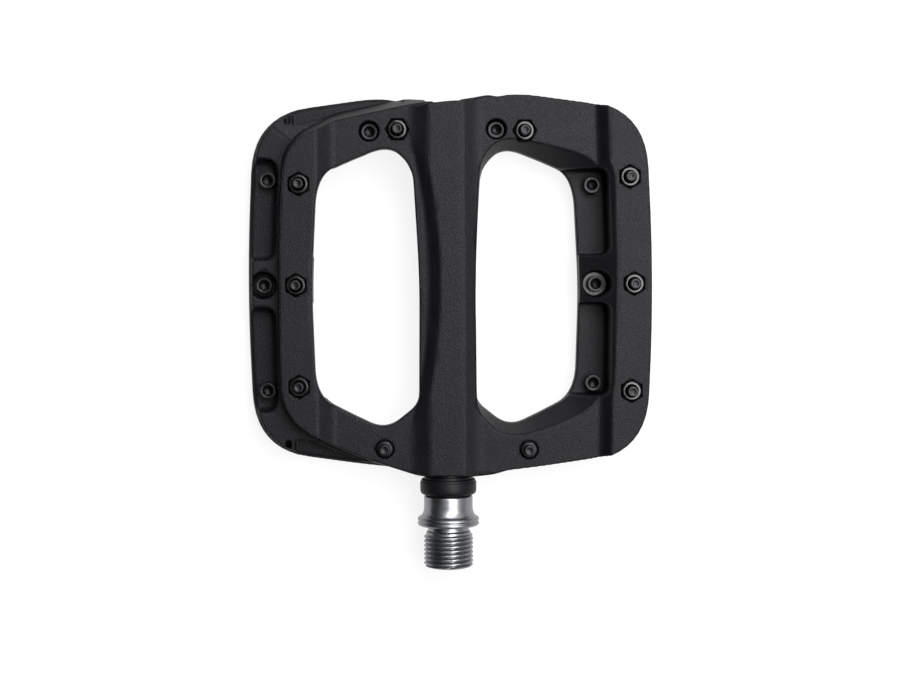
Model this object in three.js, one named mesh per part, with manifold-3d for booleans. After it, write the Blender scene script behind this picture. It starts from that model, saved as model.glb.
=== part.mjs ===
// Flat pedal: a moulded platform with traction pins on both sides, spinning on a steel spindle.
//
// Millimetres, +Z up. The spindle lies along Y, crank thread towards -Y. Everything is drawn with
// y = 0 at the row of middle pins and then moved so that the origin is the middle of the whole pedal.
//
// The platform looks the same after half a turn about the spindle: what is drawn for the top side
// is turned 180 degrees about Y to make the bottom side. The top side is set over to +X and the
// bottom side to -X, so each side rail is a Z beam with a flange at the top and one at the bottom.

import * as THREE from 'three';
import { mergeVertices } from 'three/addons/utils/BufferGeometryUtils.js';
import Module from 'manifold-3d';

const wasm = await Module();
wasm.setup();

// ---- driving dimensions ----

const ORIGIN_Y = 14.15;        // row of middle pins, measured from the middle of the pedal
const RAIL_Z = 8.75;           // half of the thickness at the side rails
const CROSS_Z = 5.8;           // half of the thickness at the cross members
const TUBE_Z = 8.2;            // half of the thickness at the spindle tube
const LEDGE_Z = 1.5;           // height of the ledge outside each rail
const FLANGE_Z = 4.5;          // the flanges fill from here out to the rail surface
const TUBE_END = { outboard: 57.0, inboard: -55.4 };    // the outboard end is then cut to the outline

const GAP = 0.3;               // between pieces that rest on each other
const FIT = 0.15;              // between a round piece and the hole it sits in

const PIN = { r: 1.5, rise: 3.1, headR: 2.4, headH: 3.0, key: 2.5, keyDepth: 1.6, chamfer: 0.3 };
const NUT = { flats: 5.3, h: 2.1, bore: 1.65, recess: 0.3 };
const SCREW_PIN = { flats: 4.3, base: 1.6, sunk: 0.9, depth: 6.0 };
const WASHER = { r: 3.6, h: 0.7 };
const COUNTERBORE = { cross: 2.9, inner: 4.0, outer: 3.9, floor: 0.3 };

const BORE = { r: 6.0, bearingR: 6.65, bearingY: 33.2 };
const JOURNAL_R = 5.0;
const BEARING = { y0: 33.5, y1: 38.5, r: 6.5, boreR: 3.0, ballR: 1.05, balls: 8, land: 4.1, rim: 5.45 };
const PITCH_R = (BEARING.land + BEARING.rim) / 2;
const THREAD = { r: 7.14, rootR: 6.45, pitch: 1.27, crests: 8, end: -81.9 };
const HEX_KEY = { flats: 8.0, depth: 8.0 };
const END_CAP = { r: 6.1, ringR: 5.4, flangeR: 6.45, key: 6.0, keyDepth: 1.5 };

// Where the pieces in the bore start and end along the axis.
const PLACE = {
  innerSeal: [-55.1, -52.7],
  bush: [-52.3, -37.3],
  lockWasher: [38.8, 39.6],
  lockNut: [39.9, 43.9],
  endCap: [46.4, 50.7],
  endCapRing: [48.8, 49.7],
};

// The arc cut into the tube's shoulder, and the crease across the ledge's outboard corner.
const SCALLOP = { radius: 254, reach: 40, depthAt: 7.7, middle: 1.0, outX: -0.631, outZ: 0.776 };
const CREASE = { x: -47, y: 43.2, turn: -0.68, fall: 0.35 };

const ROUND = 24;              // facets of a large round piece
const SMALL_ROUND = 10;        // facets of a pin

// ---- geometry helpers ----

// Turns a three.js geometry into a solid that can be joined and cut.
function solid(geometry) {
  const bare = geometry.clone();
  bare.deleteAttribute('normal');
  bare.deleteAttribute('uv');
  const merged = mergeVertices(bare, 1e-4);
  return new wasm.Manifold(new wasm.Mesh({
    numProp: 3,
    vertProperties: new Float32Array(merged.attributes.position.array),
    triVerts: new Uint32Array(merged.index.array),
  }));
}

function geometryOf(manifold) {
  const mesh = manifold.getMesh();
  const geometry = new THREE.BufferGeometry();
  geometry.setAttribute('position', new THREE.BufferAttribute(mesh.vertProperties, 3));
  geometry.setIndex(new THREE.BufferAttribute(mesh.triVerts, 1));
  geometry.computeVertexNormals();
  return geometry;
}

// Corners are [x, y, reach]: the corner is rounded from `reach` before it to `reach` after it.
function rounded(corners, steps = 4) {
  const count = corners.length;
  return corners.flatMap(([x, y, reach], i) => {
    const corner = new THREE.Vector2(x, y);
    const towards = ([nx, ny]) => {
      const step = new THREE.Vector2(nx - x, ny - y);
      return corner.clone().addScaledVector(step, Math.min(reach / step.length(), 0.49));
    };
    const start = towards(corners[(i + count - 1) % count]);
    const end = towards(corners[(i + 1) % count]);
    return new THREE.QuadraticBezierCurve(start, corner, end).getPoints(steps);
  });
}

// Moves every point of a counter-clockwise outline outwards by a distance.
function grow(points, distance) {
  const count = points.length;
  return points.map((point, i) => {
    const before = points[(i + count - 1) % count];
    const after = points[(i + 1) % count];
    const along = after.clone().sub(before).normalize();
    return new THREE.Vector2(point.x + along.y * distance, point.y - along.x * distance);
  });
}

function prism(points, z0, z1) {
  const options = { depth: z1 - z0, bevelEnabled: false };
  return solid(new THREE.ExtrudeGeometry(new THREE.Shape(points), options).translate(0, 0, z0));
}

// Joins outlines at several heights, given from the lowest up as [z, points].
function loft(levels) {
  const count = levels[0][1].length;
  const positions = levels.flatMap(([z, points]) => points.flatMap((p) => [p.x, p.y, z]));
  const index = [];
  for (let level = 0; level + 1 < levels.length; level += 1) {
    for (let i = 0; i < count; i += 1) {
      const a = level * count + i;
      const b = level * count + (i + 1) % count;
      index.push(a, b, b + count, a, b + count, a + count);
    }
  }
  const top = (levels.length - 1) * count;
  THREE.ShapeUtils.triangulateShape(levels[0][1], []).forEach(([a, b, c]) => index.push(a, c, b));
  THREE.ShapeUtils.triangulateShape(levels.at(-1)[1], []).forEach(([a, b, c]) => {
    index.push(top + a, top + b, top + c);
  });
  const geometry = new THREE.BufferGeometry();
  geometry.setAttribute('position', new THREE.Float32BufferAttribute(positions, 3));
  geometry.setIndex(index);
  return solid(geometry);
}

function box(x0, x1, y0, y1, z0, z1) {
  const geometry = new THREE.BoxGeometry(x1 - x0, y1 - y0, z1 - z0);
  return solid(geometry.translate((x0 + x1) / 2, (y0 + y1) / 2, (z0 + z1) / 2));
}

// Profiles are lists of [radius, distance along the axis]; the axis is Y.
function turned(profile, segments = ROUND) {
  return new THREE.LatheGeometry(profile.map(([r, y]) => new THREE.Vector2(r, y)), segments);
}

function disc(r, y0, y1, segments = ROUND) {
  return turned([[0, y0], [r, y0], [r, y1], [0, y1]], segments);
}

function ring(inner, outer, y0, y1, segments = ROUND) {
  return turned([[inner, y0], [outer, y0], [outer, y1], [inner, y1], [inner, y0]], segments);
}

// An upright round hole or boss.
function upright(r, z0, z1, x = 0, y = 0, segments = 24) {
  return solid(disc(r, z0, z1, segments).rotateX(Math.PI / 2).translate(x, y, 0));
}

// The outline of a hexagon. Its corners point along X, or along Y when turned.
function hexagon(flats, turn = 0) {
  const r = flats / Math.sqrt(3);
  return Array.from({ length: 6 }, (_, i) => {
    const angle = turn + i * Math.PI / 3;
    return new THREE.Vector2(r * Math.cos(angle), r * Math.sin(angle));
  });
}

function hexPrism(flats, z0, z1, x = 0, y = 0, turn = 0) {
  return prism(hexagon(flats, turn), z0, z1).translate(x, y, 0);
}

const flip = (manifold) => manifold.rotate(0, 180, 0);
const joinAll = (manifolds) => manifolds.reduce((all, next) => all.add(next));
const cutAll = (manifold, cutters) => cutters.reduce((rest, cutter) => rest.subtract(cutter), manifold);

// ---- where the fasteners go, seen with their own side of the platform facing up ----

const ALONG_Y = Math.PI / 6;   // turns a hexagon so that its corners point along Y

const BOLTS = [
  { name: 'outer_outboard', x: 51.8, y: 30.3, top: RAIL_Z, seat: FLANGE_Z, turn: ALONG_Y },
  { name: 'outer_middle', x: 53.0, y: 0, top: RAIL_Z, seat: FLANGE_Z, turn: ALONG_Y },
  { name: 'outer_inboard', x: 52.2, y: -30.5, top: RAIL_Z, seat: FLANGE_Z, turn: ALONG_Y },
  { name: 'inner_outboard', x: -42.05, y: 28.6, top: RAIL_Z, seat: FLANGE_Z, turn: ALONG_Y },
  { name: 'inner_middle', x: -43.0, y: 0, top: RAIL_Z, seat: FLANGE_Z, turn: ALONG_Y, washer: true },
  { name: 'inner_inboard', x: -42.3, y: -28.8, top: RAIL_Z, seat: FLANGE_Z, turn: ALONG_Y },
  { name: 'cross_left', x: -14.1, y: 44.15, top: CROSS_Z, seat: -COUNTERBORE.floor, turn: 0 },
  { name: 'cross_right', x: 22.15, y: 43.7, top: CROSS_Z, seat: -COUNTERBORE.floor, turn: 0 },
];

const SCREWED_PINS = [
  { name: 'inboard_left', x: -18.2, y: -46.9 },
  { name: 'inboard_right', x: 23.1, y: -47.4 },
];

// ---- platform ----

// Outline of the top side, counter-clockwise.
const SIDE_OUTLINE = rounded([
  [6, -54.8, 2], [24, -53.0, 8], [56.6, -48.3, 17], [58.7, 0, 28], [56.4, 49.8, 17], [20, 54.8, 7],
  [12.5, 53.5, 3], [6.3, 52.1, 2], [1.5, 52.1, 2], [-6, 51.3, 2], [-11, 50.3, 2], [-33, 45.7, 4],
  [-44.6, 40.6, 5], [-46.9, 30, 8], [-47.8, 0, 25], [-47.2, -38.0, 10], [-30, -47.2, 9], [-8.0, -54.5, 2],
]);
// The foot of the rail walls, at the pocket floors.
const FOOT_OUTLINE = rounded([
  [6, -56.4, 2], [24, -54.6, 8], [58.3, -49.9, 17], [60.4, 0, 28], [58.1, 51.7, 17], [20, 58.2, 7],
  [12.5, 56.0, 3], [6.3, 54.6, 2], [1.5, 54.6, 2], [-6, 54.0, 2], [-11, 54.1, 2], [-33, 49.6, 4],
  [-43.2, 44.4, 3], [-47.9, 38.0, 5], [-48.7, 0, 25], [-48.1, -38.9, 10], [-30.5, -48.8, 9], [-8.4, -56.1, 2],
]);

// Outline of the right-hand window where it is narrowest, and where it flares out at the top.
const WINDOW = [
  [8.3, -34.0, 3], [17.8, -41.6, 5], [27, -37.2, 2], [37.5, -31.8, 8], [38.6, -1, 8],
  [37.0, 31.3, 9], [27, 35.7, 2], [16.2, 40.0, 6], [9.8, 33.4, 4], [8.0, 2, 10],
];
const FLARE = [
  [8.3, -36.9, 3], [14.8, -44.4, 4], [27, -43.8, 8], [47.0, -35.6, 9], [48.0, -2, 15],
  [47.4, 37.4, 9], [30, 41.4, 9], [14.6, 43.0, 6], [9.2, 36.3, 4], [8.0, 2, 10],
];

// The middle of one side: its walls lean out from the outline to the foot.
function sideTower() {
  return loft([[-RAIL_Z, FOOT_OUTLINE], [-FLANGE_Z, FOOT_OUTLINE], [RAIL_Z, SIDE_OUTLINE]]);
}

// The flange of one side and the ledge under it, before the pockets are cut up into it.
function sideFlange() {
  return loft([
    [-LEDGE_Z, grow(SIDE_OUTLINE, -1.9)],
    [FLANGE_Z, grow(SIDE_OUTLINE, -1.3)],
    [FLANGE_Z + 1.0, grow(SIDE_OUTLINE, -0.35)],
    [RAIL_Z, SIDE_OUTLINE],
  ]);
}

// Pockets in the ledge of the bottom side, seen from the top: two beside the pins, a long one and a
// small notch at each end, and a round one for the middle head.
function ledgePockets() {
  const sidePockets = [
    rounded([[-70, 7.2, 1], [-49.4, 7.2, 3.5], [-48.4, 36.4, 4], [-70, 36.4, 1]]),
    rounded([[-70, -36.6, 1], [-48.9, -36.6, 4], [-49.4, -6.2, 3.5], [-70, -6.2, 1]]),
  ].map((outline) => prism(outline, -FLANGE_Z, RAIL_Z));
  const endPockets = [
    rounded([[-44.4, 45.9, 0.8], [-28, 50.0, 3], [-6, 54.9, 1], [-6, 70, 1], [-44.4, 70, 1]]),
    rounded([[-46.6, 46.2, 1.2], [-44.9, 46.2, 1], [-44.9, 49.2, 1.2], [-46.6, 49.2, 1.2]]),
    rounded([
      [-44.4, -70, 1], [-8, -70, 1], [-8, -56.5, 1], [-21.7, -52.2, 4], [-34, -47.6, 2], [-40.6, -44.4, 2],
      [-44.4, -44.8, 0.8],
    ]),
    rounded([[-46.9, -47.0, 0.9], [-45.2, -47.0, 0.9], [-45.2, -44.8, 0.9], [-46.9, -44.8, 0.9]]),
  ].map((outline) => prism(outline, -FLANGE_Z, RAIL_Z));
  const middleHead = upright(COUNTERBORE.outer, -FLANGE_Z, RAIL_Z, -53.0, 0);
  return [...sidePockets, ...endPockets, middleHead];
}

// The outboard end of the corner ledge falls away beyond a crease, down to the pocket floor.
function cornerSlope() {
  const slope = new THREE.Matrix4();
  slope.makeRotationFromEuler(new THREE.Euler(-CREASE.fall, 0, CREASE.turn, 'ZYX'));
  slope.setPosition(CREASE.x, CREASE.y, LEDGE_Z);
  const above = solid(new THREE.BoxGeometry(40, 24, 9).translate(0, 12, 4.5).applyMatrix4(slope));
  return above.intersect(box(-70, 0, 0, 70, -FLANGE_Z, RAIL_Z + 5));
}

// Pockets beside the bolt heads on the inner ledge, and the round one in the middle.
function innerPockets() {
  const pockets = [
    rounded([[30, 8.2, 1], [46.7, 8.2, 3], [46.0, 33.2, 3], [30, 33.2, 1]]),
    rounded([[30, -32.2, 1], [46.2, -32.2, 3], [46.7, -5.2, 3], [30, -5.2, 1]]),
  ].map((outline) => prism(outline, -FLANGE_Z, RAIL_Z + 1));
  return [...pockets, upright(COUNTERBORE.inner, -FLANGE_Z, RAIL_Z + 1, 43.0, 0)];
}

// The cross members lie lower than the rails.
function crossDrop() {
  const low = rounded([[-32.6, -70, 1], [43.4, -70, 1], [44.4, 0, 9], [42.2, 70, 1], [-32.6, 70, 1]]);
  const wide = rounded([[-38.5, -70, 1], [47.0, -70, 1], [48.0, 0, 9], [45.8, 70, 1], [-38.5, 70, 1]]);
  return loft([[CROSS_Z, low], [RAIL_Z + 1, wide]]);
}

// Holes for the pins of one side: nut recesses on top, bolt heads let in from below.
function fastenerHoles() {
  const holes = BOLTS.map(({ x, y, top, turn }) => joinAll([
    hexPrism(NUT.flats + 2 * NUT.recess, top - NUT.h, RAIL_Z + 1, x, y, turn),
    upright(PIN.r + GAP, -RAIL_Z - 1, RAIL_Z + 1, x, y, SMALL_ROUND),
  ]));
  const counterbores = BOLTS.filter(({ top }) => top === CROSS_Z)
    .map(({ x, y, seat }) => upright(COUNTERBORE.cross, -RAIL_Z - 1, seat, x, y));
  const blind = SCREWED_PINS.map(({ x, y }) => joinAll([
    upright(SCREW_PIN.flats / 2 + 0.7, CROSS_Z - SCREW_PIN.sunk - GAP, RAIL_Z, x, y, SMALL_ROUND),
    upright(PIN.r + GAP, CROSS_Z - SCREW_PIN.depth - GAP, RAIL_Z, x, y, SMALL_ROUND),
  ]));
  return [...holes, ...counterbores, ...blind];
}

// The tube runs out in wide hollows into the cross members. Its outboard end follows each side's outline.
function spindleTube() {
  const upper = [
    [-12.8, CROSS_Z - 0.1], [-9.8, CROSS_Z + 0.35], [-7.7, 6.95], [-5.4, TUBE_Z],
    [4.6, TUBE_Z], [7.5, 6.7], [9.3, CROSS_Z + 0.3], [12.2, CROSS_Z - 0.1],
  ].map(([x, z]) => new THREE.Vector2(x, z));
  const whole = [...upper, ...upper.map((p) => p.clone().negate())].reverse();
  const length = TUBE_END.outboard - TUBE_END.inboard;
  const tube = new THREE.ExtrudeGeometry(new THREE.Shape(whole), { depth: length, bevelEnabled: false });
  const topHalf = prism(SIDE_OUTLINE, 0, RAIL_Z + 1);
  return solid(tube.rotateX(Math.PI / 2).translate(0, TUBE_END.outboard, 0))
    .intersect(topHalf.add(flip(topHalf)));
}

// A long shallow arc cut into the left shoulder of the tube.
function shoulderScallop() {
  const { radius, reach, depthAt, middle } = SCALLOP;
  const arc = [];
  for (let step = -8; step <= 8; step += 1) {
    const y = reach * step / 8;
    arc.push(new THREE.Vector2(y, radius - Math.sqrt(radius * radius - y * y)));
  }
  const shape = new THREE.Shape([...arc, new THREE.Vector2(reach, 12), new THREE.Vector2(-reach, 12)]);
  const cutter = new THREE.ExtrudeGeometry(shape, { depth: 24, bevelEnabled: false }).translate(0, 0, -12);
  const out = new THREE.Vector3(SCALLOP.outX, 0, SCALLOP.outZ);
  const along = new THREE.Vector3(0, 1, 0);
  const place = new THREE.Matrix4().makeBasis(along, out, along.clone().cross(out));
  place.setPosition(out.clone().multiplyScalar(depthAt).addScaledVector(along, middle));
  return solid(cutter.applyMatrix4(place));
}

function spindleBore() {
  const { outboard, inboard } = TUBE_END;
  return solid(turned([
    [0, inboard - 1], [BORE.r, inboard - 1], [BORE.r, BORE.bearingY],
    [BORE.bearingR, BORE.bearingY], [BORE.bearingR, outboard + 1], [0, outboard + 1],
  ]));
}

function platform() {
  const tower = sideTower();
  const topLedge = cutAll(flip(sideFlange()), [...ledgePockets(), cornerSlope()]);
  const middle = tower.intersect(flip(tower));
  const drop = crossDrop();
  const shell = cutAll(joinAll([middle, topLedge, flip(topLedge)]), [drop, flip(drop)]);
  const scallop = shoulderScallop();
  const tube = cutAll(spindleTube(), [scallop, flip(scallop)]);
  const window = loft([[-RAIL_Z - 1, rounded(WINDOW)], [-LEDGE_Z, rounded(WINDOW)], [RAIL_Z, rounded(FLARE)],
    [RAIL_Z + 1, rounded(FLARE)]]);
  const cuts = [window, ...innerPockets(), ...fastenerHoles()];
  const beyondEnd = box(-60, 60, -70, TUBE_END.inboard, -20, 20);
  return cutAll(shell.add(tube), [...cuts, ...cuts.map(flip), spindleBore(), beyondEnd]);
}

// ---- spindle and what turns with it ----

function spindle() {
  const { r, rootR, pitch, crests, end } = THREAD;
  const thread = [];
  for (let crest = 0; crest < crests; crest += 1) {
    const y = end + 1.2 + crest * pitch;
    thread.push([rootR, y], [r, y + pitch * 0.5]);
  }
  const profile = [
    [0, end], [rootR - 0.4, end], [rootR, end + 0.5], ...thread,
    [5.95, -71.0], [5.95, -69.4], [7.4, -69.4], [7.4, -69.7], [8.4, -69.7],
    [8.9, -69.3], [8.9, -67.5], [8.4, -67.1], [7.5, -66.6], [7.05, -65.4], [7.05, -61.3],
    [6.6, -60.9], [5.5, -60.9], [5.5, -55.9], [JOURNAL_R, -55.4],
    [JOURNAL_R, -36], [4.2, 25], [4.2, BEARING.y0 - GAP], [BEARING.boreR - FIT, BEARING.y0 - GAP],
    [BEARING.boreR - FIT, 45.0], [BEARING.boreR - 0.5, 45.4], [0, 45.4],
  ];
  const key = hexPrism(HEX_KEY.flats, 0, HEX_KEY.depth + 1).rotate(-90, 0, 0).translate(0, end - 1, 0);
  return geometryOf(solid(turned(profile)).subtract(key));
}

function sealCollar() {
  const [inner, outer] = [5.5 + FIT, 8.15];
  return turned([
    [inner, -60.75], [outer - 1.0, -60.75], [outer - 0.3, -60.4], [outer, -59.7], [outer, -56.9],
    [outer - 0.35, -56.7], [outer - 0.35, -56.3], [outer - 0.6, -56.1], [inner, -56.1], [inner, -60.75],
  ]);
}

function race(inner, outer, grooveAtOuter) {
  const { y0, y1, ballR } = BEARING;
  const middle = (y0 + y1) / 2;
  const radius = ballR + 0.12;
  const face = grooveAtOuter ? outer : inner;
  const halfWidth = Math.sqrt(radius ** 2 - (face - PITCH_R) ** 2);
  const groove = [];
  for (let step = 0; step <= 4; step += 1) {
    const y = middle + halfWidth * (step / 2 - 1);
    const depth = Math.sqrt(radius ** 2 - (y - middle) ** 2);
    groove.push([PITCH_R + (grooveAtOuter ? -depth : depth), y]);
  }
  const back = grooveAtOuter ? inner : outer;
  const profile = grooveAtOuter
    ? [[back, y0], [face, y0], ...groove, [face, y1], [back, y1], [back, y0]]
    : [[face, y0], [back, y0], [back, y1], [face, y1], ...groove.reverse(), [face, y0]];
  return turned(profile);
}

function ballAngles() {
  return Array.from({ length: BEARING.balls }, (_, i) => i * 2 * Math.PI / BEARING.balls);
}

function ballCentre(angle) {
  const middle = (BEARING.y0 + BEARING.y1) / 2;
  return new THREE.Vector3(PITCH_R * Math.cos(angle), middle, PITCH_R * Math.sin(angle));
}

// A crown cage: a ring beside the balls that reaches between them.
function cage() {
  const middle = (BEARING.y0 + BEARING.y1) / 2;
  const crown = solid(ring(BEARING.land + 0.3, BEARING.rim - 0.3, middle - 0.5, middle + 1.9));
  const pockets = ballAngles().map((angle) => {
    const { x, y, z } = ballCentre(angle);
    return solid(new THREE.SphereGeometry(BEARING.ballR + 0.17, 8, 6)).translate(x, y, z);
  });
  return geometryOf(cutAll(crown, pockets));
}

function lockNut() {
  const [start, end] = PLACE.lockNut;
  const shape = new THREE.Shape(hexagon(8.0));
  shape.holes.push(new THREE.Path().absarc(0, 0, BEARING.boreR, 0, 2 * Math.PI));
  const options = { depth: end - start, bevelEnabled: false, curveSegments: 12 };
  return new THREE.ExtrudeGeometry(shape, options).rotateX(Math.PI / 2).translate(0, end, 0);
}

// The cap in the outboard mouth of the bore, with a groove for its sealing ring.
function endCap() {
  const { r, ringR, flangeR, key, keyDepth } = END_CAP;
  const [back, face] = PLACE.endCap;
  const [ringStart, ringEnd] = PLACE.endCapRing;
  const profile = [
    [0, back], [r, back], [r, ringStart - 0.2], [ringR, ringStart - 0.2],
    [ringR, ringEnd + 0.2], [flangeR, ringEnd + 0.2], [flangeR, face], [0, face],
  ];
  const socket = hexPrism(key, 0, 3).rotate(-90, 0, 0).translate(0, face - keyDepth, 0);
  return geometryOf(solid(turned(profile)).subtract(socket));
}

// ---- fasteners, drawn about the Z axis ----

// A through bolt that ends in a pin tip. Its head hangs under the seat, with a hex key socket.
function pinBolt({ top, seat, washer }) {
  const under = seat - GAP - (washer ? WASHER.h + GAP : 0);
  const tip = top + PIN.rise;
  const profile = [
    [0, under - PIN.headH], [PIN.headR - PIN.chamfer, under - PIN.headH],
    [PIN.headR, under - PIN.headH + PIN.chamfer], [PIN.headR, under], [PIN.r, under],
    [PIN.r, tip - PIN.chamfer], [PIN.r - PIN.chamfer, tip], [0, tip],
  ];
  const body = solid(turned(profile, SMALL_ROUND).rotateX(Math.PI / 2));
  const bottom = under - PIN.headH;
  return geometryOf(body.subtract(hexPrism(PIN.key, bottom - 1, bottom + PIN.keyDepth)));
}

// A short pin with a hexagon base that screws into the platform.
function screwedPin() {
  const tip = CROSS_Z + PIN.rise;
  const shaft = solid(turned([
    [0, CROSS_Z - SCREW_PIN.depth], [PIN.r, CROSS_Z - SCREW_PIN.depth],
    [PIN.r, tip - PIN.chamfer], [PIN.r - PIN.chamfer, tip], [0, tip],
  ], SMALL_ROUND).rotateX(Math.PI / 2));
  const foot = CROSS_Z - SCREW_PIN.sunk;
  return geometryOf(shaft.add(hexPrism(SCREW_PIN.flats, foot, foot + SCREW_PIN.base)));
}

function nut({ top, turn }) {
  const shape = new THREE.Shape(hexagon(NUT.flats, turn));
  shape.holes.push(new THREE.Path().absarc(0, 0, NUT.bore, 0, 2 * Math.PI));
  const geometry = new THREE.ExtrudeGeometry(shape, { depth: NUT.h, bevelEnabled: false, curveSegments: 6 });
  return geometry.translate(0, 0, top - NUT.h + GAP);
}

function washer({ seat }) {
  return ring(PIN.r + FIT, WASHER.r, seat - GAP - WASHER.h, seat - GAP, 24).rotateX(Math.PI / 2);
}

// ---- materials ----

function material(color, roughness, metalness) {
  return new THREE.MeshStandardMaterial({ color, roughness, metalness });
}

const FINISH = {
  nylon: () => material(0x1c1c1f, 0.75, 0.0),
  blackSteel: () => material(0x222326, 0.42, 0.7),
  steel: () => material(0xb9bcbf, 0.32, 1.0),
  rubber: () => material(0x101012, 0.85, 0.0),
  bush: () => material(0x8b8a5c, 0.6, 0.0),
  brightSteel: () => material(0xd6d8da, 0.22, 1.0),
};

// ---- the assembly ----

const pedal = new THREE.Group();
const assembly = new THREE.Group();
assembly.position.y = ORIGIN_Y;
pedal.add(assembly);

function place(parent, name, geometry, finish, x = 0, y = 0) {
  const mesh = new THREE.Mesh(geometry, finish());
  mesh.name = name;
  mesh.position.set(x, y, 0);
  parent.add(mesh);
}

place(assembly, 'platform', geometryOf(platform()), FINISH.nylon);

place(assembly, 'spindle', spindle(), FINISH.steel);
place(assembly, 'seal_collar', sealCollar(), FINISH.rubber);
place(assembly, 'inner_seal', ring(JOURNAL_R + 0.2, BORE.r - FIT, ...PLACE.innerSeal), FINISH.rubber);
place(assembly, 'inboard_bush', ring(JOURNAL_R + FIT, BORE.r - FIT, ...PLACE.bush), FINISH.bush);

place(assembly, 'bearing_inner_race', race(BEARING.boreR, BEARING.land, true), FINISH.brightSteel);
place(assembly, 'bearing_outer_race', race(BEARING.rim, BEARING.r, false), FINISH.brightSteel);
place(assembly, 'bearing_cage', cage(), FINISH.bush);
ballAngles().forEach((angle, i) => {
  const { x, y, z } = ballCentre(angle);
  const ball = new THREE.SphereGeometry(BEARING.ballR, 8, 6).translate(x, y, z);
  place(assembly, `bearing_ball_${i + 1}`, ball, FINISH.brightSteel);
});

place(assembly, 'lock_washer', ring(BEARING.boreR, 4.4, ...PLACE.lockWasher), FINISH.steel);
place(assembly, 'lock_nut', lockNut(), FINISH.blackSteel);
place(assembly, 'end_cap', endCap(), FINISH.nylon);
const ringFit = [END_CAP.ringR + FIT, BORE.bearingR - FIT];
place(assembly, 'end_cap_ring', ring(...ringFit, ...PLACE.endCapRing), FINISH.rubber);

// Left and right in these names are as seen with that side facing up.
for (const side of ['top', 'bottom']) {
  const group = new THREE.Group();
  group.rotation.y = side === 'top' ? 0 : Math.PI;
  assembly.add(group);
  for (const bolt of BOLTS) {
    place(group, `pin_${side}_${bolt.name}`, pinBolt(bolt), FINISH.blackSteel, bolt.x, bolt.y);
    place(group, `nut_${side}_${bolt.name}`, nut(bolt), FINISH.blackSteel, bolt.x, bolt.y);
    if (bolt.washer) {
      place(group, `washer_${side}`, washer(bolt), FINISH.brightSteel, bolt.x, bolt.y);
    }
  }
  for (const pin of SCREWED_PINS) {
    place(group, `pin_${side}_${pin.name}`, screwedPin(), FINISH.blackSteel, pin.x, pin.y);
  }
}

export default pedal;
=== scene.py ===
"""Flat pedal, the visual model: smooth detailed pieces that stand for the faceted nodes of the frame.

Lengths are in millimetres until a mesh is made. The platform is described as a distance field, negative
inside, on a regular grid: solids are joined and cut with rounded edges, as on a moulded part, and the
surface is then taken off the grid. It is the same after half a turn about the spindle, so each cut is
made for the top side and once more on the grid turned over.
"""
import math

import bpy
import numpy as np
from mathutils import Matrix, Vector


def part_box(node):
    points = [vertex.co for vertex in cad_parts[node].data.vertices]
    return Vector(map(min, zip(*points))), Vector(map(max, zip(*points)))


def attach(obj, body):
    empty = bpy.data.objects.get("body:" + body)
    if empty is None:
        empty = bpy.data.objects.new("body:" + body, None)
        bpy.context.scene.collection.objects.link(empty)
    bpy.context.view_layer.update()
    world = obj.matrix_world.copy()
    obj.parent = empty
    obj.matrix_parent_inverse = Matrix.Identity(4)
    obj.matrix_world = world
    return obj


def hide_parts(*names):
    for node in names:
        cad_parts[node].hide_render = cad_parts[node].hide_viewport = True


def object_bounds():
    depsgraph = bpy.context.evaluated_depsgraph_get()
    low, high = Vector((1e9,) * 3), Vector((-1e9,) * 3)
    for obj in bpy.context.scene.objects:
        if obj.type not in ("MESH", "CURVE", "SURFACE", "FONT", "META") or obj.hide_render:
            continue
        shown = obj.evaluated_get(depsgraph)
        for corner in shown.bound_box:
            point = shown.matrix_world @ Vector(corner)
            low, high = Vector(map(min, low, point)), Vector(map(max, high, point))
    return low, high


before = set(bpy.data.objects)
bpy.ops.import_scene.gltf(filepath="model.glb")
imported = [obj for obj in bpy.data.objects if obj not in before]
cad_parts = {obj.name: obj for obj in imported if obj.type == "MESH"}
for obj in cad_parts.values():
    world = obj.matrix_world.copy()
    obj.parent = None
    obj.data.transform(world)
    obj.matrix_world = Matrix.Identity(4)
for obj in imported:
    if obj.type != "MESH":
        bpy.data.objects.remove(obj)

import openvdb
from mathutils import Matrix, Vector

CAD_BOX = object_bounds()
MM = 0.001


def node_box(node):
    """Lowest and highest corner of a CAD node, in mm."""
    low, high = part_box(node)
    return low / MM, high / MM


def node_centre(node):
    low, high = node_box(node)
    return (low + high) / 2


# ---- driving dimensions, the same as in the CAD model ----

ROW_Y = node_centre("pin_top_outer_middle").y    # outlines are drawn from the row of middle pins
RAIL_Z = node_box("platform")[1].z
CROSS_Z = 5.8
TUBE_Z = 8.2
LEDGE_Z = 1.5
FLOOR_Z = -4.5                                   # floor of every pocket, seen from its own side
FAR_Z = 20.0                                     # beyond the platform, for shapes that cut right through
TUBE_END_Y = -55.4                               # crank side; the other end follows the outline
SCALLOP = {"radius": 254.0, "depth_at": 7.7, "middle": 1.0, "out_x": -0.631, "out_z": 0.776}

PIN = {"r": 1.5, "rise": 3.1, "head_r": 2.4, "head_h": 3.0, "key": 2.5, "key_depth": 2.0, "mouth_r": 1.62}
NUT = {"flats": 5.3, "h": 2.1, "bore": 1.65, "recess": 0.3, "ring_r": 2.5, "sink_r": 2.0, "chamfer": 0.75}
SCREW_PIN = {"flats": 4.3, "base": 1.6, "sunk": 0.9, "depth": 6.0, "clear": 0.5, "chamfer": 0.5}
WASHER_CLEAR = 0.15                              # between a washer and the shank through it
COUNTERBORE = {"cross": 2.9, "inner": 4.0, "outer": 3.9, "floor": 0.3}
GAP = 0.3
BORE = {"r": 6.0, "bearing_r": 6.65, "bearing_y": 33.2}

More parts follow.
